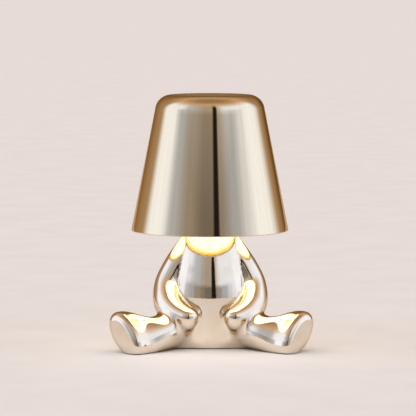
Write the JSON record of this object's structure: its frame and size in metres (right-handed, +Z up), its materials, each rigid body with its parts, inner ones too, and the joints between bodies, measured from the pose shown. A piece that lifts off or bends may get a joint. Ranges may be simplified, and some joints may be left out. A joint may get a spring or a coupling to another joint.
{
  "type": "cordless table lamp",
  "caption": "Cordless table lamp shaped as a seated faceless figure, its head a lift-off mirror shade over an opal light, with a push button and charging socket at the back.",
  "frame": {"origin": "on the shade's axis at table level, under the base pad", "axes": "+Z up along the shade's axis, -Y the way the figure faces, +X to the right as seen from the front"},
  "size_m": [0.1636, 0.1299, 0.2],
  "materials": {
    "plated_shell": "mirror electroplated champagne gold",
    "white_lining": "satin white reflector",
    "opal_diffuser": "milky light diffuser",
    "hub_plastic": "natural white moulding",
    "magnet_metal": "nickel plated magnet",
    "stem_metal": "turned steel",
    "zinc_steel": "zinc plated",
    "sink_aluminium": "turned bare aluminium",
    "white_board": "white solder mask on a metal core",
    "light_chips": "warm white phosphor",
    "base_plastic": "fine textured dark moulding",
    "pad_rubber": "matt soft pad",
    "cell_wrap": "shrink wrapped cell",
    "green_board": "solder mask",
    "chip_black": "moulded epoxy",
    "connector_white": "nylon",
    "wire_sleeve": "smooth insulation",
    "usb_steel": "drawn stainless shell",
    "clear_pipe": "clear moulding",
    "button_plated": "satin champagne gold"
  },
  "bodies": {
    "lamp_body": {"torso_front": "plated_shell", "torso_rear": "plated_shell", "arm_left": "plated_shell", "arm_right": "plated_shell", "leg_left": "plated_shell", "leg_right": "plated_shell", "diffuser": "opal_diffuser", "battery_cradle": "hub_plastic", "stem": "stem_metal", "stem_cap": "stem_metal", "stem_nut": "zinc_steel", "stem_washer": "zinc_steel", "base_screws": "zinc_steel", "board_screws": "zinc_steel", "led_board_screws": "zinc_steel", "ballast": "zinc_steel", "heat_sink": "sink_aluminium", "led_board": "white_board", "leds": "light_chips", "base_cover": "base_plastic", "rear_panel": "base_plastic", "base_pad": "pad_rubber", "heel_pads": "pad_rubber", "battery_cell": "cell_wrap", "control_board": "green_board", "board_chips": "chip_black", "tact_switch": "chip_black", "usb_tongue": "chip_black", "wire_connectors": "connector_white", "battery_wires": "wire_sleeve", "led_wires": "wire_sleeve", "usb_shell": "usb_steel", "light_pipe": "clear_pipe", "indicator_led": "clear_pipe"},
    "shade": {"shade": "plated_shell", "shade_liner": "white_lining", "shade_hub": "hub_plastic", "hub_magnet": "magnet_metal"},
    "power_button": {"power_button": "button_plated", "switch_plunger": "chip_black"}
  },
  "joints": [
    {"name": "shade_lift", "type": "slide", "parent": "lamp_body", "child": "shade", "axis": [0, 0, 1], "range_m": [0, 0.105]},
    {"name": "power_button_press", "type": "slide", "parent": "lamp_body", "child": "power_button", "axis": [0, -1, 0], "range_m": [0, 0.0008], "stiffness_N_per_m": 1500, "springref_m": -0.0005}
  ]
}
